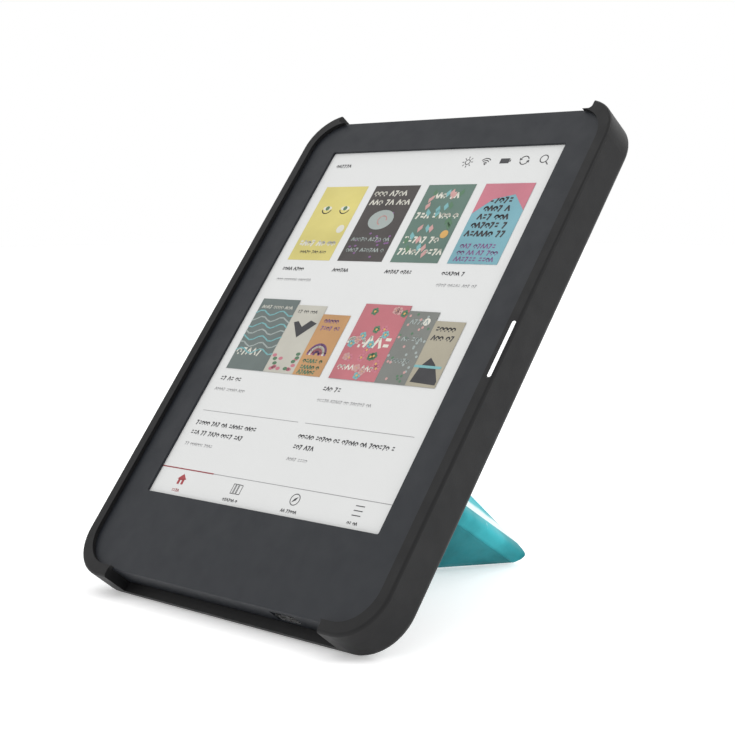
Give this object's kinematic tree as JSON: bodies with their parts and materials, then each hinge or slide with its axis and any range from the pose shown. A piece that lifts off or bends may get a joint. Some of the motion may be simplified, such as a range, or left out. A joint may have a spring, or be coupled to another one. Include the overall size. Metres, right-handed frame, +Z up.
{
  "type": "e-reader",
  "caption": "Compact e-paper reader in a clip-in hard case whose hinged cover folds along creases into a stand.",
  "frame": {"origin": "foot of the leaning case on the floor, midway along its bottom rear edge", "axes": "+Z up from the floor the stand rests on, +X to the reader's right seen from the front, +Y towards the back"},
  "size_m": [0.118, 0.1205, 0.1364],
  "materials": {
    "leather_skin": "soft marbled grain",
    "board_grey": "matte",
    "lining_suede": "brushed microfibre",
    "case_black": "fine satin",
    "nickel": "satin plated",
    "reader_black": "fine texture",
    "frame_alloy": "cast",
    "screw_steel": "machined",
    "paper_white": "matt paper",
    "clear_film": "matt clear",
    "lamp_white": "gloss",
    "flex_amber": "satin",
    "cell_silver": "foil",
    "wire_red": "satin",
    "board_green": "solder mask",
    "can_steel": "pressed",
    "chip_black": "moulded"
  },
  "bodies": {
    "device": {"case_shell": "case_black", "lip_magnet": "nickel", "rear_cover": "reader_black", "front_bezel": "reader_black", "inner_frame": "frame_alloy", "frame_screws": "screw_steel", "display_panel": "paper_white", "touch_film": "clear_film", "light_guide": "clear_film", "light_strip": "lamp_white", "display_flex": "flex_amber", "battery": "cell_silver", "battery_lead": "wire_red", "main_board": "board_green", "shield_can": "can_steel", "processor": "chip_black", "memory_chip": "chip_black", "sleep_sensor": "chip_black", "antenna": "flex_amber", "usb_c_port": "can_steel", "port_tongue": "chip_black", "tactile_switch": "chip_black", "switch_bracket": "frame_alloy"},
    "power_button": {"power_button": "reader_black"},
    "spine": {"spine_lining": "lining_suede", "spine_board": "board_grey", "spine_skin": "leather_skin"},
    "back_panel": {"back_lining": "lining_suede", "back_board": "board_grey", "back_skin": "leather_skin"},
    "foot_panel": {"foot_lining": "lining_suede", "foot_board": "board_grey", "foot_skin": "leather_skin"},
    "tip_panel": {"tip_lining": "lining_suede", "tip_board": "board_grey", "tip_skin": "leather_skin"},
    "flap_panel": {"flap_lining": "lining_suede", "flap_board": "board_grey", "flap_skin": "leather_skin", "cover_magnet": "nickel"}
  },
  "joints": [
    {"name": "spine_hinge", "type": "hinge", "parent": "device", "child": "spine", "pos_m": [-0.06035, 0.00286, 0.00069], "axis": [0, 0.6115, 0.7912], "range_deg": [0, 270]},
    {"name": "cover_hinge", "type": "hinge", "parent": "spine", "child": "back_panel", "pos_m": [-0.04555, 0.00286, 0.00069], "axis": [0, 0.6115, 0.7912], "range_deg": [0, 90.01]},
    {"name": "foot_fold", "type": "hinge", "parent": "back_panel", "child": "foot_panel", "pos_m": [-0.04555, 0.00286, 0.00069], "axis": [-0.7353, -0.4144, -0.5362], "range_deg": [0, 92.86]},
    {"name": "flap_fold", "type": "hinge", "parent": "back_panel", "child": "flap_panel", "pos_m": [0.01413, 0.03745, 0.04348], "axis": [0, -0.6115, -0.7912], "range_deg": [0, 168.01]},
    {"name": "tip_fold", "type": "hinge", "parent": "foot_panel", "child": "tip_panel", "pos_m": [0.01413, 0.0365, 0.04421], "axis": [0.0262, 0.8437, -0.5362], "range_deg": [0, 104.01]},
    {"name": "power_button_press", "type": "slide", "parent": "device", "child": "power_button", "axis": [0, -0.7912, 0.6115], "range_m": [0, 0.0004], "stiffness_N_per_m": 1500, "springref_m": -0.0002}
  ],
  "couplings": [
    {"joint": "cover_hinge", "follows": "spine_hinge", "ratio": 0.33333},
    {"joint": "foot_fold", "follows": "spine_hinge", "ratio": 0.3439},
    {"joint": "flap_fold", "follows": "spine_hinge", "ratio": 0.62222},
    {"joint": "tip_fold", "follows": "spine_hinge", "ratio": 0.38519}
  ]
}
